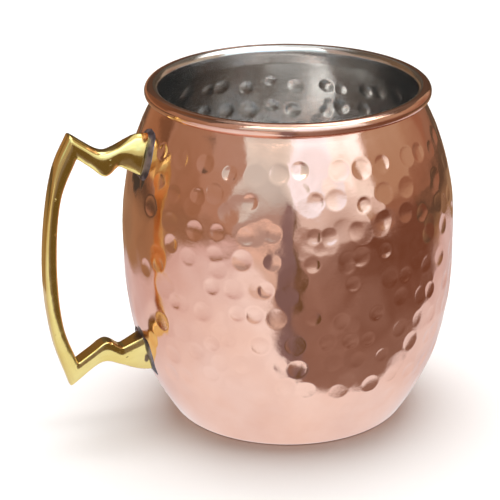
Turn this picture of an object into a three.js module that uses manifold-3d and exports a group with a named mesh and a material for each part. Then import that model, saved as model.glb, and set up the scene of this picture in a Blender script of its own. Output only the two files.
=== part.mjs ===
// Hammered copper mug: a raised copper body with a wired, rolled lip, a thin
// nickel lining inside, and a cast brass handle brazed to the wall.
// Millimetres, +Z up. The origin is the centre of the flat base, on the axis
// of the body, and the handle reaches out along -X.

import * as THREE from 'three';
import { mergeVertices } from 'three/addons/utils/BufferGeometryUtils.js';
import Module from 'manifold-3d';

const wasm = await Module();
wasm.setup();

// ---------------------------------------------------------------- dimensions

// Body: a barrel, widest a little above half height.
const HEIGHT = 99;
const BELLY_RADIUS = 48.2;
const BELLY_HEIGHT = 54.2;
const NECK_RADIUS = 38.4; // outside, just under the lip
const BASE_RADIUS = 33.6; // where the wall's line would meet the table
const UPPER_FULLNESS = 2.29; // exponents of the barrel's two halves
const LOWER_FULLNESS = 2.66;
const BASE_FILLET = 3.6;
const SHEET = 0.8; // copper sheet

// Lip: the sheet curled outward and down around a wire.
const LIP_RADIUS = 41; // outside of the rolled lip
const BEAD_RADIUS = 2.05;
const CURL_START = 205; // degrees about the bead's centre, 0 outward, 90 up
const CURL_END = -92;
const WIRE_RADIUS = 1.1;

// Lining: thin, on the inside of the body and over the lip's inner shoulder.
const LINING = 0.25;
const LINING_GAP = 0.1;
const LINING_EDGE = 125; // degrees about the bead's centre

// Handle: flat on the inside, with nearly flat sides and a rounded outside.
const HANDLE_WIDTH = 5.4;
const ROOT_WIDTH = 7; // a little wider where it meets the body
const SIDE_DEPTH = 2.5; // from the inner face to the widest line of the sides
const SIDE_SHARE = 0.55; // the most of the thickness that this may be
const SIDE_TAPER = 0.36; // how much each side draws in from there to the inner face
const JOINT_GAP = 0.3; // between brazed pieces

// Braze: a collar around each root of the handle.
const BRAZE_WIDTH = 2; // how far it spreads past the root
const BRAZE_HEIGHT = 1; // how far it stands off the wall

const SEGMENTS = 48; // around the body
const SECTION_STEPS = 8; // around the handle's rounded side

// ----------------------------------------------------------------- materials

function metal(color, roughness) {
  return new THREE.MeshStandardMaterial({ color, roughness, metalness: 1 });
}

const copper = metal(0xd98e63, 0.16);
const nickel = metal(0xb9b2a8, 0.28);
const steel = metal(0x8d9096, 0.4);
const brass = metal(0xd2ae55, 0.18);
const braze = metal(0x5f5558, 0.5);

// --------------------------------------------------------------- body outline

const BEAD = new THREE.Vector2(LIP_RADIUS - BEAD_RADIUS, HEIGHT - BEAD_RADIUS);
const NECK_HEIGHT = HEIGHT - 2 * BEAD_RADIUS;

// Outside radius of the wall at a height.
function wallRadius(z) {
  if (z > BELLY_HEIGHT) {
    const rise = (z - BELLY_HEIGHT) / (NECK_HEIGHT - BELLY_HEIGHT);
    return BELLY_RADIUS - (BELLY_RADIUS - NECK_RADIUS) * rise ** UPPER_FULLNESS;
  }
  const drop = (BELLY_HEIGHT - z) / BELLY_HEIGHT;
  return BELLY_RADIUS - (BELLY_RADIUS - BASE_RADIUS) * drop ** LOWER_FULLNESS;
}

// A point on a circle about the bead's centre, at an angle in degrees.
function onBead(radius, degrees) {
  const angle = THREE.MathUtils.degToRad(degrees);
  return new THREE.Vector2(BEAD.x + radius * Math.cos(angle), BEAD.y + radius * Math.sin(angle));
}

// The outside of the body: across the base, round the fillet and up the wall.
function bodyOutline(topHeight, wallSteps) {
  const lean = Math.atan(LOWER_FULLNESS * (BELLY_RADIUS - BASE_RADIUS) / BELLY_HEIGHT);
  const turn = Math.PI / 2 - lean;
  const flatRadius = BASE_RADIUS - BASE_FILLET * Math.tan(turn / 2);
  const points = [new THREE.Vector2(0, 0)];
  const filletSteps = 3;
  for (let i = 0; i <= filletSteps; i += 1) {
    const angle = turn * i / filletSteps;
    points.push(new THREE.Vector2(
      flatRadius + BASE_FILLET * Math.sin(angle),
      BASE_FILLET * (1 - Math.cos(angle)),
    ));
  }
  const start = points.at(-1).y;
  for (let i = 1; i <= wallSteps; i += 1) {
    const z = start + (topHeight - start) * i / wallSteps;
    points.push(new THREE.Vector2(wallRadius(z), z));
  }
  return points;
}

// Moves an outline sideways: a positive distance goes to its left, which is
// the inside of the mug. The first point stays on the axis.
function offset(points, distance) {
  return points.map((point, i) => {
    const before = points[Math.max(i - 1, 0)];
    const after = points[Math.min(i + 1, points.length - 1)];
    const along = after.clone().sub(before).normalize();
    const moved = new THREE.Vector2(point.x - along.y * distance, point.y + along.x * distance);
    if (i === 0) {
      moved.x = 0;
    }
    return moved;
  });
}

// A sheet as a closed profile: one face going out, the other coming back.
function sheet(face, thickness) {
  return [...face, ...offset(face, thickness).reverse()];
}

// A body of revolution about Z from a profile of (radius, height) points.
function turned(points) {
  const geometry = new THREE.LatheGeometry(points, SEGMENTS);
  geometry.rotateX(Math.PI / 2);
  return geometry;
}

// --------------------------------------------------------- body, wire, lining

const WALL_STEPS = 11;
const WALL_TOP = NECK_HEIGHT - 1.4; // where the wall starts to turn into the curl

// The curl, from the inner shoulder over the top and down the outside.
function curl(radius, from, to, steps) {
  const points = [];
  for (let i = 0; i <= steps; i += 1) {
    points.push(onBead(radius, from + (to - from) * i / steps));
  }
  return points;
}

function bodyShell() {
  const wall = bodyOutline(WALL_TOP, WALL_STEPS);
  const inside = offset(wall, SHEET);
  const curlSteps = 10;
  const profile = [
    ...wall,
    ...curl(BEAD_RADIUS - SHEET, CURL_START, CURL_END, curlSteps),
    ...curl(BEAD_RADIUS, CURL_END, CURL_START, curlSteps),
    ...inside.reverse(),
  ];
  return turned(profile);
}

function rimWire() {
  const sides = 8;
  const section = [];
  for (let i = 0; i < sides; i += 1) {
    section.push(onBead(WIRE_RADIUS, 360 * i / sides));
  }
  section.push(section[0].clone());
  return turned(section);
}

function lining() {
  const outside = offset(bodyOutline(WALL_TOP, WALL_STEPS), SHEET + LINING_GAP);
  const shoulderSteps = 4;
  const shoulder = curl(BEAD_RADIUS + LINING_GAP, CURL_START, LINING_EDGE, shoulderSteps);
  return turned(sheet([...outside, ...shoulder], LINING));
}

// --------------------------------------------------------------------- handle

// The handle's side view, as (reach from the axis, height) pairs. Each stretch
// gives its inner and its outer edge between the same two stations.
const HANDLE_STRETCHES = [
  { // upper root, from inside the body's wall to the upper notch
    steps: 4,
    inner: [[38, 72.9], [51.5, 80.6]],
    outer: [[38, 88.1], [42, 88.6], [46, 88.8], [51.6, 86]],
  },
  { // upper arm, over the lobe to the upper corner
    steps: 8,
    inner: [[51.5, 80.6], [55.4, 77.9], [59.6, 81.1], [63.5, 84.2]],
    outer: [[51.6, 86], [55.6, 85.2], [65.3, 91.4]],
  },
  { // grip
    steps: 14,
    inner: [[63.5, 84.2], [68.3, 73], [70.35, 53], [69.1, 34], [65.4, 22.7]],
    outer: [[65.3, 91.4], [70.1, 81], [74, 53], [72.3, 31], [67.7, 15.2]],
  },
  { // lower arm, over the lobe to the lower notch
    steps: 8,
    inner: [[65.4, 22.7], [60.9, 25.5], [56.5, 27.9], [52.1, 25.3]],
    outer: [[67.7, 15.2], [57.6, 21.4], [52.4, 19.8]],
  },
  { // lower root
    steps: 4,
    inner: [[52.1, 25.3], [38, 31.4]],
    outer: [[52.4, 19.8], [45.9, 16.8], [38, 16.1]],
  },
];

// A smooth curve through (reach, height) pairs, in the plane of the handle.
function edge(pairs) {
  return new THREE.CatmullRomCurve3(pairs.map(([reach, z]) => new THREE.Vector3(-reach, 0, z)));
}

// Every station of the handle: its inner and outer point.
function handleStations(stretches) {
  const stations = [];
  stretches.forEach((stretch, index) => {
    const inner = edge(stretch.inner);
    const outer = edge(stretch.outer);
    for (let i = index === 0 ? 0 : 1; i <= stretch.steps; i += 1) {
      stations.push({
        inner: inner.getPointAt(i / stretch.steps),
        outer: outer.getPointAt(i / stretch.steps),
      });
    }
  });
  return stations;
}

// Half the handle's width at a reach: wider where it nears the body.
function halfWidth(reach) {
  const spread = 1 - THREE.MathUtils.smoothstep(reach, 43, 52);
  return (HANDLE_WIDTH + (ROOT_WIDTH - HANDLE_WIDTH) * spread) / 2;
}

// How square the rounded side of a section is: the exponent of a superellipse,
// where 2 is half round. The grip is squarest and the roots are roundest.
function squareness(thickness) {
  return THREE.MathUtils.clamp(5.5 - 0.32 * thickness, 2, 3.5);
}

// The section at a station, grown by a margin: the flat's two corners, and
// between them the rounded side.
function handleSection(station, margin) {
  const outward = station.outer.clone().sub(station.inner);
  const thickness = outward.length();
  outward.normalize();
  const half = halfWidth(-station.inner.x) + margin;
  const side = Math.min(SIDE_DEPTH, SIDE_SHARE * thickness);
  const power = 2 / squareness(thickness);
  const at = (depth, y) => {
    const point = station.inner.clone().addScaledVector(outward, depth);
    point.y = y;
    return point;
  };
  const ring = [at(-margin, SIDE_TAPER - half)];
  for (let i = 0; i <= SECTION_STEPS; i += 1) {
    const angle = Math.PI * (i / SECTION_STEPS - 0.5);
    const depth = side + (thickness + margin - side) * Math.max(0, Math.cos(angle)) ** power;
    ring.push(at(depth, half * Math.sign(angle) * Math.abs(Math.sin(angle)) ** power));
  }
  ring.push(at(-margin, half - SIDE_TAPER));
  return ring;
}

// A closed solid through rings of equally many points.
function loft(rings) {
  const count = rings[0].length;
  const positions = rings.flat().flatMap((point) => point.toArray());
  const indices = [];
  for (let r = 0; r < rings.length - 1; r += 1) {
    for (let i = 0; i < count; i += 1) {
      const a = r * count + i;
      const b = r * count + (i + 1) % count;
      indices.push(a, b, b + count, a, b + count, a + count);
    }
  }
  const last = (rings.length - 1) * count;
  for (let i = 1; i < count - 1; i += 1) {
    indices.push(0, i + 1, i);
    indices.push(last, last + i, last + i + 1);
  }
  const geometry = new THREE.BufferGeometry();
  geometry.setAttribute('position', new THREE.Float32BufferAttribute(positions, 3));
  geometry.setIndex(indices);
  return geometry;
}

function handleBar(stretches, margin) {
  return loft(handleStations(stretches).map((station) => handleSection(station, margin)));
}

// ------------------------------------------------------------------- booleans

function toSolid(geometry) {
  const bare = geometry.clone();
  bare.deleteAttribute('normal');
  bare.deleteAttribute('uv');
  const merged = mergeVertices(bare, 1e-4);
  return new wasm.Manifold(new wasm.Mesh({
    numProp: 3,
    vertProperties: new Float32Array(merged.attributes.position.array),
    triVerts: new Uint32Array(merged.index.array),
  }));
}

function toGeometry(solid) {
  const mesh = solid.getMesh();
  const geometry = new THREE.BufferGeometry();
  geometry.setAttribute('position', new THREE.BufferAttribute(mesh.vertProperties, 3));
  geometry.setIndex(new THREE.BufferAttribute(mesh.triVerts, 1));
  geometry.computeVertexNormals();
  return geometry;
}

// The space that the body fills, grown by a distance all round.
function bodySpace(distance) {
  const outline = offset(bodyOutline(NECK_HEIGHT, WALL_STEPS), -distance);
  outline.push(new THREE.Vector2(0, outline.at(-1).y));
  return toSolid(turned(outline));
}

const wallClearance = bodySpace(JOINT_GAP);

function handle() {
  return toGeometry(toSolid(handleBar(HANDLE_STRETCHES, 0)).subtract(wallClearance));
}

// A collar around one root: the root grown sideways, kept only near the wall,
// with the root itself and the wall taken away.
function brazeCollar(stretch) {
  const root = [stretch];
  const shadow = toSolid(handleBar(root, BRAZE_WIDTH));
  const nearWall = shadow.intersect(bodySpace(BRAZE_HEIGHT));
  const hollow = toSolid(handleBar(HANDLE_STRETCHES, JOINT_GAP));
  return toGeometry(nearWall.subtract(wallClearance).subtract(hollow));
}

// ------------------------------------------------------------------- assembly

const mug = new THREE.Group();

function add(name, geometry, material) {
  const mesh = new THREE.Mesh(geometry, material);
  mesh.name = name;
  mug.add(mesh);
}

add('body_shell', bodyShell(), copper);
add('rim_wire', rimWire(), steel);
add('lining', lining(), nickel);
add('handle', handle(), brass);
add('braze_upper', brazeCollar(HANDLE_STRETCHES.at(0)), braze);
add('braze_lower', brazeCollar(HANDLE_STRETCHES.at(-1)), braze);

export default mug;
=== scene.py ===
"""Hammered copper mug: a copper body with a rolled lip, a nickel lining and a cast brass handle."""

import math

import bpy
import numpy as np
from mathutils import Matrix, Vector


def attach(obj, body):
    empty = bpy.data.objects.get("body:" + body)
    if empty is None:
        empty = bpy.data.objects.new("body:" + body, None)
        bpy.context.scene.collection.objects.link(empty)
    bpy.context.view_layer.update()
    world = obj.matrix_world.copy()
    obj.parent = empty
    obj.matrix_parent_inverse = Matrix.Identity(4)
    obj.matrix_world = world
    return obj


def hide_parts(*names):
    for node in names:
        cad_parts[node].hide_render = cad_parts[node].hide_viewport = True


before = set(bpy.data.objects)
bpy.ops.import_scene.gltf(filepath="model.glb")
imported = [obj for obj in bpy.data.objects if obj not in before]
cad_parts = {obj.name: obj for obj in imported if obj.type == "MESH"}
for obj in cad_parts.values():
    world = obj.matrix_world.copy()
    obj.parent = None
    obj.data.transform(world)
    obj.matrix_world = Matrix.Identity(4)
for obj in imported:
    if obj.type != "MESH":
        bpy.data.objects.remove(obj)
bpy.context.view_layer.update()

MM = 0.001
rng = np.random.default_rng(7)

# ------------------------------------------------------------------ dimensions
# Millimetres, as in the CAD model, whose origin and axes these are.

# The body is a barrel, widest a little above half height.
HEIGHT = 99.0
BELLY_RADIUS = 48.2
BELLY_HEIGHT = 54.2
NECK_RADIUS = 38.4  # outside, just under the lip
BASE_RADIUS = 33.6  # where the wall's line would meet the table
UPPER_FULLNESS = 2.29  # exponents of the barrel's two halves
LOWER_FULLNESS = 2.66
BASE_FILLET = 3.6
SHEET = 0.8  # copper sheet
LINING = 0.25

# The lip is the sheet, curled outward and down around a wire. Its angles are
# degrees about the bead's centre, where 0 is outward and 90 is up.
LIP_RADIUS = 41.0
BEAD_RADIUS = 2.05
WIRE_RADIUS = 1.1
CURL_START = 205.0
CURL_END = -92.0
LINING_EDGE = 102.0  # where the lining stops
BEAD = np.array([LIP_RADIUS - BEAD_RADIUS, HEIGHT - BEAD_RADIUS])
NECK_HEIGHT = HEIGHT - 2 * BEAD_RADIUS

# The handle is flat on the inside, with nearly flat sides and a rounded outside.
HANDLE_WIDTH = 5.4
ROOT_WIDTH = 7  # a little wider where it meets the body
ROOT_START = 52  # the reach inside which it widens
ROOT_RUN = 9  # and how far it takes
SIDE_DEPTH = 2.5  # from the inner face to the widest line of the sides
SIDE_SHARE = 0.55  # the most of the thickness that this may be
SIDE_TAPER = 0.36  # how much each side draws in from there to the inner face
HANDLE_ANGLE = math.pi  # the handle reaches out along -X

# The handle's side view, as (reach from the axis, height) pairs. Each stretch
# gives its inner and its outer edge between the same two stations.
HANDLE_STRETCHES = [
    # upper root, from the body's wall to the upper notch
    ([(38, 72.9), (51.5, 80.6)], [(38, 88.1), (42, 88.6), (46, 88.8), (51.6, 86)]),
    # upper arm, over the lobe to the upper corner
    ([(51.5, 80.6), (55.4, 77.9), (59.6, 81.1), (63.5, 84.2)],
     [(51.6, 86), (55.6, 85.2), (65.3, 91.4)]),
    # grip
    ([(63.5, 84.2), (68.3, 73), (70.35, 53), (69.1, 34), (65.4, 22.7)],
     [(65.3, 91.4), (70.1, 81), (74, 53), (72.3, 31), (67.7, 15.2)]),
    # lower arm, over the lobe to the lower notch
    ([(65.4, 22.7), (60.9, 25.5), (56.5, 27.9), (52.1, 25.3)],
     [(67.7, 15.2), (57.6, 21.4), (52.4, 19.8)]),
    # lower root
    ([(52.1, 25.3), (38, 31.4)], [(52.4, 19.8), (45.9, 16.8), (38, 16.1)]),
]

# ---------------------------------------------------------------------- camera
# The handle is at the left, turned a little toward the viewer.

VIEW_AZIMUTH = math.radians(-21.5)
VIEW_ELEVATION = math.radians(21.3)
VIEW_DISTANCE = 0.6  # metres, from the middle of the mug
LENS = 147.1
SENSOR = 36
SHIFT_X = -0.0759
SHIFT_Y = -0.014


def make_camera():
    data = bpy.data.cameras.new("camera")
    data.sensor_width = SENSOR
    data.lens = LENS
    data.shift_x = SHIFT_X
    data.shift_y = SHIFT_Y
    data.clip_start = 0.01
    camera = bpy.data.objects.new("camera", data)
    bpy.context.collection.objects.link(camera)
    away = Vector((
        math.sin(VIEW_AZIMUTH) * math.cos(VIEW_ELEVATION),
        -math.cos(VIEW_AZIMUTH) * math.cos(VIEW_ELEVATION),
        math.sin(VIEW_ELEVATION),
    ))
    target = Vector((0, 0, HEIGHT / 2 * MM))
    camera.location = target + away * VIEW_DISTANCE
    camera.rotation_euler = (-away).to_track_quat("-Z", "Y").to_euler()
    bpy.context.scene.camera = camera


make_camera()

# -------------------------------------------------------------------- geometry


def mesh_object(name, points, faces):
    """A smooth-shaded piece, from points in millimetres."""
    mesh = bpy.data.meshes.new(name)
    mesh.from_pydata((np.asarray(points, dtype=float) * MM).tolist(), [], faces)
    mesh.validate()
    mesh.shade_smooth()
    piece = bpy.data.objects.new(name, mesh)
    bpy.context.collection.objects.link(piece)
    return piece


def face_grid(rows, columns, close_rows=False, flip=False):
    """Quads over a grid of points. Its columns wrap round, and its rows may too."""
    faces = []
    for row in range(rows if close_rows else rows - 1):
        this = row * columns
        after = (row + 1) % rows * columns
        for left in range(columns):
            right = (left + 1) % columns
            quad = (this + left, this + right, after + right, after + left)
            faces.append((quad[0], quad[3], quad[2], quad[1]) if flip else quad)
    return faces


def closed_with_fan(points, faces, start, count, middle, flip):
    """Closes a ring of points with triangles to one point in its middle."""
    centre = len(points)
    for i in range(count):
        a = start + i
        b = start + (i + 1) % count
        faces.append((centre, b, a) if flip else (centre, a, b))
    return np.vstack([points, [middle]]), faces


def resample(path, samples):
    """The path again, with its points evenly spaced."""
    steps = np.linalg.norm(np.diff(path, axis=0), axis=1)
    along = np.concatenate([[0], np.cumsum(steps)])
    wanted = np.linspace(0, along[-1], samples)
    return np.stack([np.interp(wanted, along, path[:, k]) for k in range(path.shape[1])], axis=1)


def path_length(path):
    return np.linalg.norm(np.diff(path, axis=0), axis=1).sum()


def catmull_rom(points, samples=60):
    """A centripetal Catmull-Rom curve, sampled evenly along its length."""
    points = np.asarray(points, dtype=float)
    if len(points) == 2:
        steps = np.linspace(0, 1, samples)[:, None]
        return points[0] * (1 - steps) + points[1] * steps
    ends = [2 * points[0] - points[1], *points, 2 * points[-1] - points[-2]]
    t = np.linspace(0, 1, 80)[:, None]
    dense = []
    for p0, p1, p2, p3 in zip(ends, ends[1:], ends[2:], ends[3:]):
        d0 = np.linalg.norm(p1 - p0)**0.5
        d1 = np.linalg.norm(p2 - p1)**0.5
        d2 = np.linalg.norm(p3 - p2)**0.5
        t1 = ((p1 - p0) / d0 - (p2 - p0) / (d0 + d1) + (p2 - p1) / d1) * d1
        t2 = ((p2 - p1) / d1 - (p3 - p1) / (d1 + d2) + (p3 - p2) / d2) * d1
        dense.append(p1 + t1 * t + (-3 * p1 + 3 * p2 - 2 * t1 - t2) * t**2
                     + (2 * p1 - 2 * p2 + t1 + t2) * t**3)
    return resample(np.vstack(dense), samples)


# ---------------------------------------------------------------- body outline

WALL_TOP = NECK_HEIGHT - 1.4  # the lip's curl starts above it


def wall_radius(z):
    """Outside radius of the undented wall at a height."""
    z = np.asarray(z, dtype=float)
    rise = np.clip((z - BELLY_HEIGHT) / (NECK_HEIGHT - BELLY_HEIGHT), 0, None)
    drop = np.clip((BELLY_HEIGHT - z) / BELLY_HEIGHT, 0, None)
    return (BELLY_RADIUS - (BELLY_RADIUS - NECK_RADIUS) * rise**UPPER_FULLNESS
            - (BELLY_RADIUS - BASE_RADIUS) * drop**LOWER_FULLNESS)


def on_bead(radius, degrees):
    """Outline points on a circle about the bead's centre."""
    angle = np.radians(degrees)
    return np.stack([BEAD[0] + radius * np.cos(angle), BEAD[1] + radius * np.sin(angle)], axis=1)


def body_outline():
    """The outside of the body, finely: from the flat base round the fillet and up the wall."""
    lean = math.atan(LOWER_FULLNESS * (BELLY_RADIUS - BASE_RADIUS) / BELLY_HEIGHT)
    turn = math.pi / 2 - lean
    flat = BASE_RADIUS - BASE_FILLET * math.tan(turn / 2)
    angle = np.linspace(0, turn, 12)
    fillet = np.stack([flat + BASE_FILLET * np.sin(angle), BASE_FILLET * (1 - np.cos(angle))], axis=1)
    z = np.linspace(fillet[-1, 1], WALL_TOP, 400)[1:]
    return np.vstack([fillet, np.stack([wall_radius(z), z], axis=1)])


def outline_normals(path):
    """Unit normals of an outline, on its right-hand side: outward on the wall."""
    along = np.gradient(path, axis=0)
    along /= np.linalg.norm(along, axis=1)[:, None]
    return np.stack([along[:, 1], -along[:, 0]], axis=1)


def spin(outline, columns):
    """Turns (radius, height) pairs round the axis, as rows of columns of points."""
    angle = np.linspace(0, 2 * math.pi, columns, endpoint=False)
    radius = outline[:, 0][:, None]
    return np.stack([radius * np.cos(angle), radius * np.sin(angle),
                     np.repeat(outline[:, 1][:, None], columns, axis=1)], axis=2)


# ----------------------------------------------------------------------- dents
# Round hammer marks in rows round the body. The strip behind the handle is
# plain, because the hammer can't reach it evenly.

DENT_ROWS = [86, 78, 70.2, 62.2, 54.2, 46.2, 38.2, 30.4, 22.8]  # heights
FAINT_ROW = 15.5  # one more row, near the base
FAINTNESS = 0.35  # its depth, as a share of the others'
DENTS_PER_ROW = 36
DENT_RADIUS = 2.75
DENT_DEPTH = 0.34
MISSED_SHARE = 0.05  # of the dents in a row
SOFT_DENTS = 190  # shallow, scattered marks between the rows
PLAIN_HALF_WIDTH = math.radians(12)
RIDGE_SHARE = 0.25  # how much the shallower of two dents that meet adds to the deeper

# Slow waves of the whole wall, which start above CALM_BASE and end at CALM_NECK.
WAVES = 28
CALM_BASE = 6
BASE_FADE = 14
CALM_NECK = 93
NECK_FADE = 8


def behind_handle(angle):
    return abs((angle - HANDLE_ANGLE + math.pi) % (2 * math.pi) - math.pi) < PLAIN_HALF_WIDTH


def make_dents():
    """Each dent: its angle round the body, height, radius and depth."""
    dents = []
    for z in [*DENT_ROWS, FAINT_ROW]:
        strength = FAINTNESS if z == FAINT_ROW else 1.0
        offset = rng.uniform(0, 1)
        for i in range(DENTS_PER_ROW):
            angle = 2 * math.pi * (i + offset + rng.normal(0, 0.17)) / DENTS_PER_ROW
            height = z + rng.normal(0, 1.0)
            size = DENT_RADIUS * rng.uniform(0.8, 1.14)
            depth = DENT_DEPTH * strength * rng.uniform(0.55, 1.1)
            skipped = rng.uniform() < MISSED_SHARE
            if not skipped and not behind_handle(angle):
                dents.append((angle, height, size, depth))
    for _ in range(SOFT_DENTS):
        angle = rng.uniform(0, 2 * math.pi)
        height = rng.uniform(11, 82)
        size = rng.uniform(2.4, 4.2)
        depth = rng.uniform(0.06, 0.17)
        if not behind_handle(angle):
            dents.append((angle, height, size, depth))
    return dents


DENTS = make_dents()


def dent_field(points, grow, edge):
    """How deep the dents go at each point of a shell, which is rows x columns x 3.

    A dent is a bowl whose side is steepest at its rim. grow widens it, and edge rounds its rim."""
    rows, columns, _ = points.shape
    depth = np.zeros((rows, columns))
    z_of_row = points[:, 0, 2]
    step = 2 * math.pi / columns
    for angle, z, size, deep in DENTS:
        radius = float(wall_radius(z))
        reach = size + grow
        centre = np.array([radius * math.cos(angle), radius * math.sin(angle), z])
        near_rows = np.nonzero(np.abs(z_of_row - z) < reach * 1.05)[0]
        if len(near_rows) == 0:
            continue
        half = int(reach * 1.15 / radius / step) + 2
        middle = int(round(angle / step))
        near_columns = np.arange(middle - half, middle + half + 1) % columns
        patch = points[np.ix_(near_rows, near_columns)].copy()
        around = np.hypot(patch[..., 0], patch[..., 1])
        patch[..., :2] *= (wall_radius(patch[..., 2]) / around)[..., None]
        away = np.linalg.norm(patch - centre, axis=2) / reach
        cap = np.clip(1 - away**2, 0, None)
        bowl = deep * (cap**2 / (cap + edge) * (1 + edge))**0.8
        before = depth[np.ix_(near_rows, near_columns)]
        after = np.maximum(before, bowl) + RIDGE_SHARE * np.minimum(before, bowl)
        depth[np.ix_(near_rows, near_columns)] = after
    return depth


def undulation(points, amplitude):
    """Slow unevenness that planishing leaves, fading out at the base and the neck."""
    angle = np.arctan2(points[..., 1], points[..., 0])
    z = points[..., 2]
    waves = np.zeros(z.shape)
    wave_rng = np.random.default_rng(21)
    for _ in range(WAVES):
        turns = int(wave_rng.integers(5, 34))
        per_height = wave_rng.uniform(-0.55, 0.55)
        phase = wave_rng.uniform(0, 2 * math.pi)
        length = 2 * math.pi / math.hypot(turns / BELLY_RADIUS, per_height)
        waves += length / 16 * np.cos(turns * angle + per_height * z + phase)
    fade_in = np.clip((z - CALM_BASE) / BASE_FADE, 0, 1)
    fade_out = np.clip((CALM_NECK - z) / NECK_FADE, 0, 1)
    return waves * (fade_in * fade_out) * amplitude / 4


# -------------------------------------------------------------------- the body

BODY_COLUMNS = 720
BODY_PITCH = 0.42
LINING_COLUMNS = 600
LINING_PITCH = 0.48
SMALLEST_RING = 1.5  # inside it, a base is closed with a fan
SEAT = 0.02  # between the lining's back and the copper


def base_rings(flat, height, pitch):
    """Outline points across the flat base, from the middle out."""
    count = max(2, int((flat - SMALLEST_RING) / pitch))
    radius = np.linspace(SMALLEST_RING, flat, count, endpoint=False)
    return np.stack([radius, np.full(count, height)], axis=1)


def dented(outline, columns, grow, edge, wave):
    """Spins an outline and moves it along its normals, in by the dents and out by the waves."""
    points = spin(outline, columns)
    normals = spin(outline_normals(outline), columns)
    moved = points - normals * dent_field(points, grow, edge)[..., None]
    moved += normals * undulation(points, wave)[..., None]
    return moved


def round_shell(name, rings, columns, first_height, last_height, flip):
    """A closed shell from rings that run from the axis on one face to the axis on the other."""
    faces = face_grid(len(rings), columns, flip=flip)
    points = rings.reshape(-1, 3)
    last = len(points) - columns
    points, faces = closed_with_fan(points, faces, 0, columns, (0, 0, first_height), not flip)
    points, faces = closed_with_fan(points, faces, last, columns, (0, 0, last_height), flip)
    return mesh_object(name, points, faces)


def make_body():
    """The copper sheet: dented outside, plain inside under the lining, and curled at the lip."""
    outer = body_outline()
    outer = resample(outer, int(path_length(outer) / BODY_PITCH))
    inner = resample(outer - outline_normals(outer) * SHEET, 24)
    flat = outer[0, 0]
    curl_inside = on_bead(BEAD_RADIUS - SHEET, np.linspace(CURL_START, CURL_END, 16))
    curl_end = on_bead(BEAD_RADIUS - SHEET / 2, np.array([CURL_END - 12]))
    curl_outside = on_bead(BEAD_RADIUS, np.linspace(CURL_END, LINING_EDGE, 40))
    under_lining = on_bead(BEAD_RADIUS - LINING, np.linspace(LINING_EDGE + 1, CURL_START, 8))
    plain = np.vstack([curl_inside, curl_end, curl_outside, under_lining, inner[::-1]])
    rings = np.concatenate([
        spin(base_rings(flat, 0, pitch=1.6), BODY_COLUMNS),
        dented(outer, BODY_COLUMNS, grow=0, edge=0.05, wave=0.08),
        spin(plain, BODY_COLUMNS),
        spin(base_rings(flat, SHEET, pitch=4)[::-1], BODY_COLUMNS),
    ])
    return round_shell("copper_body", rings, BODY_COLUMNS, 0, SHEET, flip=False)


def make_lining():
    """The lining: its face shows the dents as low bumps, and it ends on the lip's inner shoulder.

    On the shoulder it stands a hair proud of the copper, and its edge dips under the copper."""
    outside = body_outline()
    normals = outline_normals(outside)
    face_height = SHEET + LINING
    back_height = SHEET + SEAT
    wall = outside - normals * face_height
    flat = wall[0, 0]
    shoulder = on_bead(BEAD_RADIUS + 0.01, np.linspace(CURL_START - 4, LINING_EDGE, 22))
    face = np.vstack([wall, shoulder])
    face = resample(face, int(path_length(face) / LINING_PITCH))
    edge = on_bead(BEAD_RADIUS - 0.1, np.array([LINING_EDGE - 0.6]))
    seat = on_bead(BEAD_RADIUS - LINING + SEAT, np.linspace(LINING_EDGE + 1, CURL_START, 6))
    back = resample(outside - normals * back_height, 30)[::-1]
    rings = np.concatenate([
        spin(base_rings(flat, face_height, pitch=1.5), LINING_COLUMNS),
        dented(face, LINING_COLUMNS, grow=-0.4, edge=0.06, wave=0.05),
        spin(np.vstack([edge, seat, back]), LINING_COLUMNS),
        spin(base_rings(flat, back_height, pitch=4)[::-1], LINING_COLUMNS),
    ])
    return round_shell("nickel_lining", rings, LINING_COLUMNS, face_height, back_height, flip=True)


def make_wire():
    """The wire inside the lip: a plain ring."""
    sides = 16
    columns = 160
    points = spin(on_bead(WIRE_RADIUS, np.linspace(0, 360, sides, endpoint=False)), columns)
    return mesh_object("lip_wire", points.reshape(-1, 3), face_grid(sides, columns, close_rows=True))


# ------------------------------------------------------------------ the handle

STATION_PITCH = 0.3
SECTION_POINTS = 64
CORNER = 0.7  # rounding of the flat side's two edges
TURN_WEIGHT = 1.2  # millimetres of section that a radian of turn counts as, when points are placed
EDGE_WEAR = 5  # smoothing passes that round the corners between stretches
WALL_SINK = 0.3  # how far the roots reach into the copper


def half_width(reach):
    """Half the handle's width at a reach: wider where it nears the body."""
    spread = np.clip((ROOT_START - reach) / ROOT_RUN, 0, 1)
    spread = spread * spread * (3 - 2 * spread)
    return (HANDLE_WIDTH + (ROOT_WIDTH - HANDLE_WIDTH) * spread) / 2


def squareness(thickness):
    """Exponent of the section's rounded side, 2 for half round. The grip is squarest."""
    return min(3.5, max(2.0, 5.5 - 0.32 * thickness))


def placed_by_turn(path, count):
    """An open path with its points closest together where it turns."""
    steps = np.diff(path, axis=0)
    heading = np.unwrap(np.arctan2(steps[:, 1], steps[:, 0]))
    turn = np.abs(np.gradient(heading))
    weight = np.linalg.norm(steps, axis=1) + TURN_WEIGHT * turn
    along = np.concatenate([[0], np.cumsum(weight)])
    wanted = np.linspace(0, along[-1], count)
    return np.stack([np.interp(wanted, along, path[:, k]) for k in range(2)], axis=1)


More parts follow.
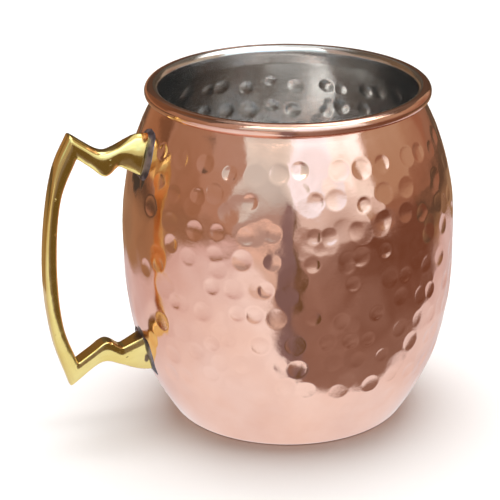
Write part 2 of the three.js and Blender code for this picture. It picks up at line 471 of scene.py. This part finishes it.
def half_section(thickness, half):
    """Half a section, as (distance from the inner face, distance from the handle's plane).

    It runs from the crown down the side and round the corner to the middle of the inner face."""
    side = min(SIDE_DEPTH, SIDE_SHARE * thickness)
    power = 2 / squareness(thickness)
    angle = np.linspace(0, math.pi / 2, 90)
    crown = np.stack([side + (thickness - side) * np.cos(angle).clip(0)**power,
                      half * np.sin(angle)**power], axis=1)
    corner = min(CORNER, 0.8 * side)
    depth = np.linspace(side, corner, 12)[1:]
    taper = SIDE_TAPER * ((side - depth) / side)**1.4
    flank = np.stack([depth, half - taper], axis=1)
    edge = flank[-1, 1]
    angle = np.linspace(0, math.pi / 2, 14)[1:]
    rounding = np.stack([corner * (1 - np.sin(angle)), edge - corner * (1 - np.cos(angle))], axis=1)
    return np.vstack([crown, flank, rounding, [[0, 0]]])


def section(thickness, half):
    """A whole section, its points in order round it."""
    right = placed_by_turn(half_section(thickness, half), SECTION_POINTS // 2 + 1)
    left = right[1:-1][::-1] * np.array([1, -1])
    return np.vstack([right, left])


def handle_rings():
    """The handle's sections from the upper root to the lower one, and the stretch of each."""
    rings = []
    stretch_of_ring = []
    for index, (inner, outer) in enumerate(HANDLE_STRETCHES):
        count = int(path_length(catmull_rom(outer)) / STATION_PITCH)
        inner = catmull_rom(inner, count)
        outer = catmull_rom(outer, count)
        for k in range(0 if index == 0 else 1, count):
            thickness = np.linalg.norm(outer[k] - inner[k])
            outward = (outer[k] - inner[k]) / thickness
            shape = section(thickness, half_width(inner[k][0]))
            side = inner[k] + outward * shape[:, :1]
            rings.append(np.stack([-side[:, 0], shape[:, 1], side[:, 1]], axis=1))
            stretch_of_ring.append(index)
    rings = np.array(rings)
    for _ in range(EDGE_WEAR):
        rings[1:-1] = (rings[:-2] + 2 * rings[1:-1] + rings[2:]) / 4
    return rings, np.array(stretch_of_ring)


def trim_root(rings):
    """Starts a root just inside the copper, whatever the wall's slope.

    The rings run outward, and the first of them is well inside the wall."""
    trimmed = rings.copy()
    for i in range(rings.shape[1]):
        line = rings[:, i]
        clearance = np.hypot(line[:, 0], line[:, 1]) - (wall_radius(line[:, 2]) - WALL_SINK)
        k = int(np.argmax(clearance > 0))
        share = -clearance[k - 1] / (clearance[k] - clearance[k - 1])
        start = line[k - 1] + (line[k] - line[k - 1]) * share
        trimmed[:, i] = resample(np.vstack([start, line[k:]]), len(rings))
    return trimmed


def make_handle():
    """The handle, and the rings of its upper and lower root from the wall outward."""
    rings, stretch = handle_rings()
    upper = np.nonzero(stretch == 0)[0]
    lower = np.nonzero(stretch == len(HANDLE_STRETCHES) - 1)[0][::-1]
    rings[upper] = trim_root(rings[upper])
    rings[lower] = trim_root(rings[lower])
    rows, columns, _ = rings.shape
    points = rings.reshape(-1, 3)
    faces = face_grid(rows, columns, flip=True)
    for row, flip in ((0, True), (rows - 1, False)):
        middle = rings[row].mean(axis=0)
        points, faces = closed_with_fan(points, faces, row * columns, columns, middle, flip)
    return mesh_object("brass_handle", points, faces), rings[upper], rings[lower]


# ------------------------------------------------------------------- the braze

BEAD_POINTS = 120  # round a root
FILLET_POINTS = 12  # from the wall up to the root
BURIED = 0.25  # how far the filler's hidden side lies inside the wall
EVENING_PASSES = 8  # that smooth the directions in which the filler spreads


def ripple(count, seed, waves, amplitude):
    """A smooth closed random curve about 1."""
    local = np.random.default_rng(seed)
    turn = np.linspace(0, 2 * math.pi, count, endpoint=False)
    total = np.ones(count)
    for k in range(2, 2 + waves):
        total += amplitude / math.sqrt(waves) * local.uniform(0.4, 1.4) * np.cos(
            k * turn + local.uniform(0, 2 * math.pi))
    return total


def onto_wall(points, proud):
    """Moves points in or out to lie on the wall, proud of it by a distance."""
    around = np.hypot(points[..., 0], points[..., 1])
    wanted = wall_radius(points[..., 2]) + proud
    moved = points.copy()
    moved[..., :2] *= (wanted / around)[..., None]
    return moved


def make_braze(name, root, seed, sides, ends, lift, climb, bulge):
    """A smooth fillet of filler round one root, whose rings run from the wall outward.

    It spreads over the wall by sides at the root's two sides and by ends at its top and bottom,
    and lift makes the spread larger at the top than at the bottom. climb is how much further it
    goes out along the root at its top than elsewhere, and bulge is how full it is."""
    dense = np.array([resample(np.vstack([ring, ring[:1]]), BEAD_POINTS + 1)[:-1] for ring in root])
    foot = dense[0]
    step = np.linalg.norm(dense[1:] - dense[:-1], axis=2).mean()
    middle = foot.mean(axis=0)
    outward = np.array([-1.0, 0, 0])
    along = np.roll(foot, -2, axis=0) - np.roll(foot, 2, axis=0)
    side = np.cross(along, outward)
    side /= np.linalg.norm(side, axis=1)[:, None]
    side *= np.sign(np.sum((foot - middle) * side, axis=1).mean())
    for _ in range(EVENING_PASSES):
        side = (np.roll(side, 1, axis=0) + 2 * side + np.roll(side, -1, axis=0)) / 4
    side /= np.linalg.norm(side, axis=1)[:, None]
    spread = (ends + (sides - ends) * side[:, 1]**4) * (1 + lift * side[:, 2])
    spread = (spread * ripple(BEAD_POINTS, seed + 1, 4, 0.12))[:, None]
    height = (0.55 + climb * side[:, 2].clip(0)**2) * ripple(BEAD_POINTS, seed, 5, 0.2)
    top = np.zeros_like(foot)
    for i in range(BEAD_POINTS):
        position = min(height[i] / step, len(root) - 2)
        k = int(position)
        top[i] = dense[k, i] + (dense[k + 1, i] - dense[k, i]) * (position - k)
    edge = onto_wall(foot + side * spread, -0.05)
    fullness = outward * bulge * (0.35 + 0.65 * side[:, 1:2]**4)
    control = onto_wall(foot + side * spread * 0.35, 0) + fullness
    rows = []
    for t in np.linspace(0, 1, FILLET_POINTS):
        rows.append((1 - t)**2 * edge + 2 * t * (1 - t) * control + t**2 * (top + side * 0.03))
    rows.append(top - side * 0.3)
    rows.append(foot - side * 0.3)
    rows.append(onto_wall(foot, -BURIED))
    rows.append(onto_wall(foot + side * spread * 0.8, -BURIED))
    points = np.array(rows).reshape(-1, 3)
    return mesh_object(name, points, face_grid(len(rows), BEAD_POINTS, close_rows=True))


# ------------------------------------------------------------------- materials


class Nodes:
    """Short calls for building a material's node tree."""

    def __init__(self, name):
        self.material = bpy.data.materials.new(name)
        self.material.use_nodes = True
        self.tree = self.material.node_tree
        self.shader = self.tree.nodes["Principled BSDF"]

    def feed(self, socket, value):
        """Links a socket to another node's output, or sets its value."""
        if isinstance(value, bpy.types.NodeSocket):
            self.tree.links.new(value, socket)
        else:
            socket.default_value = value

    def add(self, kind, inputs=None, **settings):
        node = self.tree.nodes.new(kind)
        for key, value in settings.items():
            setattr(node, key, value)
        for key, value in (inputs or {}).items():
            self.feed(node.inputs[key], value)
        return node

    def place(self):
        return self.add("ShaderNodeTexCoord").outputs["Object"]

    def noise(self, vector, scale, detail=3.0, roughness=0.5):
        node = self.add("ShaderNodeTexNoise", {
            "Vector": vector, "Scale": scale, "Detail": detail, "Roughness": roughness})
        return node.outputs["Fac"]

    def stretched(self, vector, scale):
        node = self.add("ShaderNodeMapping", {"Vector": vector, "Scale": scale})
        return node.outputs["Vector"]

    def levels(self, value, low, high, new_low, new_high):
        node = self.add("ShaderNodeMapRange", {
            "Value": value, "From Min": low, "From Max": high, "To Min": new_low, "To Max": new_high})
        return node.outputs["Result"]

    def mottle(self, vector, scale):
        """Soft clouds from 0 to 1."""
        return self.levels(self.noise(vector, scale, 4), 0.35, 0.65, 0, 1)

    def math(self, operation, first, second, clamped=False):
        node = self.add("ShaderNodeMath", {0: first, 1: second}, operation=operation)
        node.use_clamp = clamped
        return node.outputs[0]

    def blob(self, vector, centre, radii):
        """1 inside an uneven patch round a centre, 0 outside. Millimetres."""
        scale = [1 / (radius * MM) for radius in radii]
        shift = [-c * MM * k for c, k in zip(centre, scale)]
        local = self.add("ShaderNodeMapping", {"Vector": vector, "Location": shift, "Scale": scale})
        length = self.add("ShaderNodeVectorMath", {0: local.outputs[0]}, operation="LENGTH")
        wobble = self.levels(self.noise(vector, 260, 3), 0.3, 0.7, -0.3, 0.3)
        total = self.math("ADD", length.outputs["Value"], wobble)
        return self.levels(total, 1.15, 0.7, 0, 1)

    def mix(self, data_type, first_input, result, values):
        node = self.add("ShaderNodeMix", data_type=data_type)
        for index, value in zip((0, first_input, first_input + 1), values):
            self.feed(node.inputs[index], value)
        return node.outputs[result]

    def mixed(self, factor, first, second):
        """A number between two numbers."""
        return self.mix("FLOAT", 2, 0, (factor, first, second))

    def blend(self, factor, first, second):
        """A colour between two colours."""
        return self.mix("RGBA", 6, 2, (factor, first, second))

    def bump(self, height, strength, distance, normal=None):
        inputs = {"Height": height, "Strength": strength, "Distance": distance}
        if normal is not None:
            inputs["Normal"] = normal
        return self.add("ShaderNodeBump", inputs).outputs["Normal"]

    def shade(self, **inputs):
        """Sets the shader's sockets, and gives the finished material."""
        for key, value in inputs.items():
            self.feed(self.shader.inputs[key.replace("_", " ")], value)
        return self.material


def rgb(r, g, b):
    return (r, g, b, 1.0)


# Flux and soot that the torch left near the roots: each patch has a centre and three radii.
COPPER_SOOT = [((-46, -0.6, 76.2), (6, 4.2, 4.4)), ((-46, -5.0, 76.6), (6, 1.2, 2.8)),
               ((-46.5, -1.5, 29.2), (6, 3.0, 1.6))]
BRASS_SOOT = [((-44.5, -0.6, 29.0), (4.0, 5.0, 3.4)), ((-45.2, -3, 21.4), (0.7, 1.5, 1.6))]


def soot(n, place, patches):
    """1 where any of the patches is, 0 elsewhere."""
    mask = 0.0
    for centre, radii in patches:
        mask = n.math("MAXIMUM", mask, n.blob(place, centre, radii))
    return mask


def copper_material():
    n = Nodes("polished_copper")
    place = n.place()
    clean = n.blend(n.mottle(place, 60), rgb(0.93, 0.565, 0.44), rgb(0.955, 0.62, 0.505))
    dirty = soot(n, place, COPPER_SOOT)
    colour = n.blend(dirty, clean, rgb(0.17, 0.15, 0.145))
    smear = n.noise(n.stretched(place, (1, 1, 3)), 140, 5)
    roughness = n.mixed(dirty, n.levels(smear, 0.3, 0.7, 0.06, 0.15), 0.5)
    scratches = n.noise(n.stretched(place, (1, 1, 14)), 700, 2)
    ripples = n.noise(place, 320, 2)
    normal = n.bump(scratches, 0.05, 0.0002)
    normal = n.bump(ripples, 0.08, 0.0004, normal)
    return n.shade(Base_Color=colour, Metallic=1.0, Roughness=roughness, Normal=normal)


def lining_material():
    n = Nodes("brushed_nickel")
    place = n.place()
    clean = n.blend(n.mottle(place, 45), rgb(0.80, 0.80, 0.795), rgb(0.88, 0.88, 0.88))
    # Darker towards the bottom of the inside, from 9 mm down: painted shade in the mug's bottom.
    painted_shade = n.blend(n.mottle(place, 160), rgb(0.46, 0.45, 0.43), rgb(0.62, 0.61, 0.59))
    height = n.add("ShaderNodeSeparateXYZ", {"Vector": place}).outputs["Z"]
    low = n.levels(height, 2 * MM, 9 * MM, 0.8, 0)
    colour = n.blend(low, clean, painted_shade)
    lines = n.noise(n.stretched(place, (0.6, 0.6, 60)), 130, 4)
    roughness = n.levels(lines, 0.3, 0.7, 0.14, 0.22)
    normal = n.bump(lines, 0.08, 0.0002)
    brushed = n.add("ShaderNodeTangent", direction_type="RADIAL", axis="Z").outputs["Tangent"]
    return n.shade(Base_Color=colour, Metallic=1.0, Roughness=roughness, Normal=normal,
                   Tangent=brushed, Anisotropic=0.8, Anisotropic_Rotation=0.25)


def brass_material():
    n = Nodes("cast_brass")
    place = n.place()
    clean = n.blend(n.mottle(place, 90), rgb(0.88, 0.68, 0.23), rgb(0.94, 0.77, 0.31))
    dirty = soot(n, place, BRASS_SOOT)
    colour = n.blend(dirty, clean, rgb(0.22, 0.155, 0.10))
    cells = n.add("ShaderNodeTexVoronoi", {"Vector": place, "Scale": 420.0}).outputs["Distance"]
    pit = n.levels(cells, 0.05, 0.2, 0, 1)
    away_from_pits = n.levels(n.noise(place, 240, 1), 0.57, 0.64, 1, 0)
    pitted = n.math("MAXIMUM", pit, away_from_pits)
    grain = n.noise(place, 500, 3)
    roughness = n.mixed(dirty, n.levels(grain, 0.3, 0.7, 0.08, 0.16), 0.4)
    waves = n.noise(place, 110, 2)
    normal = n.bump(waves, 0.12, 0.0008)
    normal = n.bump(grain, 0.05, 0.0003, normal)
    normal = n.bump(pitted, 0.35, 0.0004, normal)
    return n.shade(Base_Color=colour, Metallic=1.0, Roughness=roughness, Normal=normal)


def braze_material():
    n = Nodes("dark_braze")
    place = n.place()
    cloud = n.noise(place, 260, 4)
    colour = n.blend(n.levels(cloud, 0.42, 0.62, 0, 1), rgb(0.07, 0.06, 0.075), rgb(0.28, 0.24, 0.28))
    roughness = n.levels(cloud, 0.3, 0.7, 0.45, 0.3)
    normal = n.bump(n.noise(place, 520, 4), 0.6, 0.0004)
    return n.shade(Base_Color=colour, Metallic=0.6, Roughness=roughness, Normal=normal)


def wire_material():
    n = Nodes("drawn_wire")
    place = n.place()
    grain = n.noise(place, 700, 3)
    colour = n.blend(grain, rgb(0.40, 0.41, 0.43), rgb(0.55, 0.56, 0.58))
    roughness = n.levels(grain, 0.3, 0.7, 0.3, 0.5)
    normal = n.bump(grain, 0.2, 0.0002)
    return n.shade(Base_Color=colour, Metallic=1.0, Roughness=roughness, Normal=normal)


# -------------------------------------------------------------------- assembly


def finish_piece(piece, node, material):
    piece.data.materials.append(material)
    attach(piece, "root")
    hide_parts(node)


finish_piece(make_body(), "body_shell", copper_material())
finish_piece(make_lining(), "lining", lining_material())
finish_piece(make_wire(), "rim_wire", wire_material())
handle, upper_root, lower_root = make_handle()
finish_piece(handle, "handle", brass_material())
braze = braze_material()
upper_braze = make_braze(
    "upper_braze", upper_root, seed=3, sides=3.8, ends=0.9, lift=0.3, climb=0.2, bulge=1.1)
finish_piece(upper_braze, "braze_upper", braze)
lower_braze = make_braze(
    "lower_braze", lower_root, seed=11, sides=3.8, ends=0.6, lift=-0.7, climb=0, bulge=1.0)
finish_piece(lower_braze, "braze_lower", braze)

# ---------------------------------------------------------------------- studio
# Places in the studio are millimetres to the viewer's right, toward the viewer
# and up, from the mug's base. The metal mirrors a room, which is stood in for by
# plain cards that only reflections see. The cards glow: the light and shade of the
# room's table, paper, post, walls and windows are painted into their colours.

RIGHT = Vector((math.cos(VIEW_AZIMUTH), math.sin(VIEW_AZIMUTH), 0))
FRONT = Vector((math.sin(VIEW_AZIMUTH), -math.cos(VIEW_AZIMUTH), 0))
UP = Vector((0, 0, 1))
FAR = 3000
MID_HEIGHT = 54  # the height that directions to the cards are measured from


def studio(right, front, up=0.0):
    """A place in the studio, in metres."""
    return (RIGHT * right + FRONT * front + UP * up) * MM


def glow(name, inner, outer, centre, near, far, uneven=0.3, grain=14):
    """Emission that goes from one colour to another with the distance from a point, unevenly."""
    n = Nodes(name)
    n.tree.nodes.remove(n.shader)
    place = n.place()
    away = n.add("ShaderNodeVectorMath", {0: place, 1: studio(*centre)}, operation="DISTANCE")
    share = n.levels(away.outputs["Value"], near * MM, far * MM, 0, 1)
    blotches = n.levels(n.noise(place, grain, 4), 0.3, 0.7, -uneven, uneven)
    factor = n.math("ADD", share, blotches, clamped=True)
    light = n.add("ShaderNodeEmission", {"Color": n.blend(factor, rgb(*inner), rgb(*outer))})
    n.tree.links.new(light.outputs[0], n.tree.nodes["Material Output"].inputs["Surface"])
    return n.material


def flat_piece(name, corners, material):
    """A flat polygon of the studio, which stays where it is and isn't part of the mug."""
    mesh = bpy.data.meshes.new(name)
    mesh.from_pydata([studio(*corner) for corner in corners], [], [tuple(range(len(corners)))])
    mesh.materials.append(material)
    piece = bpy.data.objects.new(name, mesh)
    bpy.context.collection.objects.link(piece)
    return piece


def card(name, corners, material):
    """A flat card that only reflections see."""
    piece = flat_piece(name, corners, material)
    piece.visible_camera = False
    piece.visible_diffuse = False
    piece.visible_shadow = False


def rectangle(left, right, back, front, up):
    """The corners of a level rectangle."""
    return [(left, back, up), (right, back, up), (right, front, up), (left, front, up)]


def facing_card(name, azimuths, elevations, distance, lower, upper, uneven=0.3):
    """A card that fills a range of directions from the mug: degrees right of the viewer, and up."""
    left, right = azimuths
    low, high = elevations
    corners = []
    for azimuth, elevation in ((left, low), (right, low), (right, high), (left, high)):
        turn = math.radians(azimuth)
        rise = math.tan(math.radians(elevation))
        corners.append((distance * math.sin(turn), distance * math.cos(turn),
                        MID_HEIGHT + distance * rise))
    foot = [(corners[0][k] + corners[1][k]) / 2 for k in range(3)]
    reach = corners[3][2] - corners[0][2]
    card(name, corners, glow(name, lower, upper, foot, 0.1 * reach, reach, uneven, grain=5))


def make_floor():
    n = Nodes("pale_floor")
    n.shade(Base_Color=rgb(0.86, 0.86, 0.86), Roughness=0.7)
    flat_piece("floor", rectangle(-FAR, FAR, -FAR, FAR, 0), n.material)


# The dim light from everywhere else, by height: 0 is level or lower, 1 straight up.
ROOM_STOPS = [
    (0.0, (0.075, 0.048, 0.03)),
    (0.35, (0.10, 0.07, 0.05)),
    (0.75, (0.22, 0.18, 0.15)),
    (1.0, (0.4, 0.37, 0.34)),
]


def make_world():
    """A dim room, brown round the horizon and paler overhead."""
    world = bpy.data.worlds.new("room")
    bpy.context.scene.world = world
    world.use_nodes = True
    tree = world.node_tree
    background = tree.nodes["Background"]
    place = tree.nodes.new("ShaderNodeTexCoord")
    split = tree.nodes.new("ShaderNodeSeparateXYZ")
    tree.links.new(place.outputs["Generated"], split.inputs[0])
    ramp = tree.nodes.new("ShaderNodeValToRGB")
    ramp.color_ramp.interpolation = "EASE"
    while len(ramp.color_ramp.elements) < len(ROOM_STOPS):
        ramp.color_ramp.elements.new(0.5)
    for element, (position, colour) in zip(ramp.color_ramp.elements, ROOM_STOPS):
        element.position = position
        element.color = rgb(*colour)
    tree.links.new(split.outputs["Z"], ramp.inputs[0])
    tree.links.new(ramp.outputs[0], background.inputs["Color"])
    background.inputs["Strength"].default_value = 1.0


def make_softbox():
    """The wide, soft light overhead. It lights the floor and the dull faces, and isn't mirrored."""
    data = bpy.data.lights.new("overhead_softbox", "AREA")
    data.shape = "SQUARE"
    data.size = 1.6
    data.energy = 34
    light = bpy.data.objects.new("overhead_softbox", data)
    bpy.context.collection.objects.link(light)
    light.location = studio(0, -200, 1300)
    aim = studio(0, 0, 50) - light.location
    light.rotation_euler = aim.to_track_quat("-Z", "Y").to_euler()
    light.visible_glossy = False


make_floor()
make_world()
make_softbox()

# The table that the metal mirrors: dark wood in front, and lighter brown wood at the
# left and just behind the mug. Each layer lies a little above the one under it.
TABLE_EDGE = -60  # where the front part ends and the part behind the mug starts
wood = glow("wood", (0.165, 0.075, 0.044), (0.42, 0.32, 0.28), (400, 0, 0), 230, 500, 0.22, grain=18)
back_wood = glow("back_wood", (0.36, 0.23, 0.13), (0.11, 0.075, 0.05), (-40, -60, 0), 190, 400)
left_wood = glow("left_wood", (0.36, 0.23, 0.13), (0.26, 0.16, 0.10), (-200, 0, 0), 60, 600)
card("table", rectangle(-FAR, FAR, TABLE_EDGE, FAR, 0.1), wood)
card("table_behind", rectangle(-FAR, FAR, -FAR, TABLE_EDGE, 0.1), back_wood)
card("table_left", rectangle(-FAR, -150, TABLE_EDGE, FAR, 0.2), left_wood)

# A sheet of pale paper under the mug, and the part of it that is in shade. The paper's glow dims away from
# a point in front of the mug: painted shade, darkest to the left of and behind the mug.
PAPER_CORNERS = [(-100, -105), (-165, 0), (-360, 110), (-310, 480), (-110, 270), (-40, 165), (-5, 95),
                 (10, 60), (85, 15), (125, -15), (155, -45), (180, -90), (190, -150), (0, -170)]
SHADED_CORNERS = [(-310, 480), (-110, 270), (-20, 135), (-25, 200), (-60, 420), (-120, 700), (-300, 900)]
paper = glow("paper", (0.97, 1.02, 1.06), (0.66, 0.56, 0.56), (30, 150, 0), 60, 250, 0.22, grain=26)
shaded = glow("shaded", (0.68, 0.60, 0.54), (0.84, 0.71, 0.63), (-30, 150, 0), 40, 400, 0.22, grain=26)
card("sheet", [(*corner, 0.4) for corner in PAPER_CORNERS], paper)
card("sheet_shaded", [(*corner, 0.3) for corner in SHADED_CORNERS], shaded)

# The dark post in front of the mug, and its shadow toward the mug. The flag is a
# brown card that stands in that shadow. The handle mirrors it as a dark band,
# and in the copper it lies inside the post's dark streak.
POST_FRONT = 140
POST_CORNERS = [(-15, 0.5), (14, 0.5), (15, 50), (4, 98), (-11, 98), (-17, 50)]
POST_SHADOW = [(-12, 141), (15, 141), (13, 95), (9, 70), (-2, 74), (-7, 96)]
post = glow("post", (0.22, 0.165, 0.17), (0.28, 0.22, 0.235), (0, POST_FRONT, 0), 10, 110)
flag = glow("flag", (0.15, 0.095, 0.045), (0.18, 0.115, 0.06), (10, 100, 40), 10, 120)
card("post_foot", [(*corner, 0.5) for corner in POST_SHADOW], post)
card("flag", [(3, 62, 0.5), (15.5, 150, 0.5), (15.5, 150, 80), (3, 62, 80)], flag)
card("post", [(right, POST_FRONT, up) for right, up in POST_CORNERS], post)

# The windows and their sills, in front and above.
facing_card("window_left", (-37, 4), (9, 42), 950, (0.53, 0.62, 0.64), (0.95, 1.10, 1.10), 0.2)
facing_card("window_low", (-33, -21), (-1, 9), 940, (0.50, 0.46, 0.42), (0.55, 0.60, 0.58), 0.2)
facing_card("window_middle", (4, 33), (9, 42), 900, (0.98, 1.20, 1.42), (1.30, 1.60, 1.95), 0.5)
facing_card("window_right", (33, 62), (7, 42), 900, (0.95, 1.05, 1.05), (1.65, 1.90, 2.15), 0.5)
for side, azimuths in (("left", (-40, -6)), ("middle", (-6, 28)), ("right", (28, 62)), ("far", (62, 105))):
    facing_card("window_top_" + side, azimuths, (40, 74), 890, (2.9, 2.85, 2.7), (3.1, 3.0, 2.8))
facing_card("sill_left", (-40, 8), (-6, 9), 960, (0.46, 0.41, 0.39), (0.46, 0.38, 0.35))
facing_card("sill_right", (8, 64), (-6, 9), 960, (0.46, 0.38, 0.34), (0.76, 0.74, 0.72))

# The dimmer walls and furniture to the right, to the left and behind.
facing_card("wall_right", (62, 100), (4, 62), 900, (0.46, 0.34, 0.24), (0.56, 0.47, 0.36), 0.5)
facing_card("corner_right", (62, 150), (-9, 4), 1000, (0.24, 0.12, 0.07), (0.31, 0.18, 0.12), 0.5)
facing_card("room_right", (100, 150), (4, 28), 1000, (0.32, 0.16, 0.10), (0.45, 0.32, 0.22), 0.5)
facing_card("room_right_top", (105, 150), (28, 60), 1000, (0.16, 0.12, 0.09), (0.08, 0.07, 0.06))
facing_card("wall_left", (-64, -37), (-6, 60), 950, (0.44, 0.30, 0.22), (0.48, 0.37, 0.32), 0.4)
facing_card("room_left", (-106, -64), (-6, 28), 1000, (0.33, 0.20, 0.12), (0.40, 0.26, 0.18), 0.5)
facing_card("room_left_top", (-106, -64), (28, 60), 1000, (0.16, 0.12, 0.09), (0.08, 0.07, 0.06))
facing_card("corner_left", (-150, -106), (7, 60), 1000, (0.20, 0.11, 0.06), (0.12, 0.07, 0.04), 0.4)
facing_card("corner_left_low", (-174, -106), (-8, 7), 990, (0.40, 0.22, 0.12), (0.34, 0.19, 0.10), 0.4)

# A ceiling that is bright at the right and dim over the mug.
CEILING_HEIGHT = 1000
ceiling = glow("ceiling", (3.0, 3.0, 2.9), (0.75, 0.73, 0.70), (430, -80, CEILING_HEIGHT), 180, 440)
card("ceiling", rectangle(-260, 660, -500, 540, CEILING_HEIGHT), ceiling)

bpy.context.scene.view_settings.view_transform = "Standard"

bpy.context.view_layer.update()
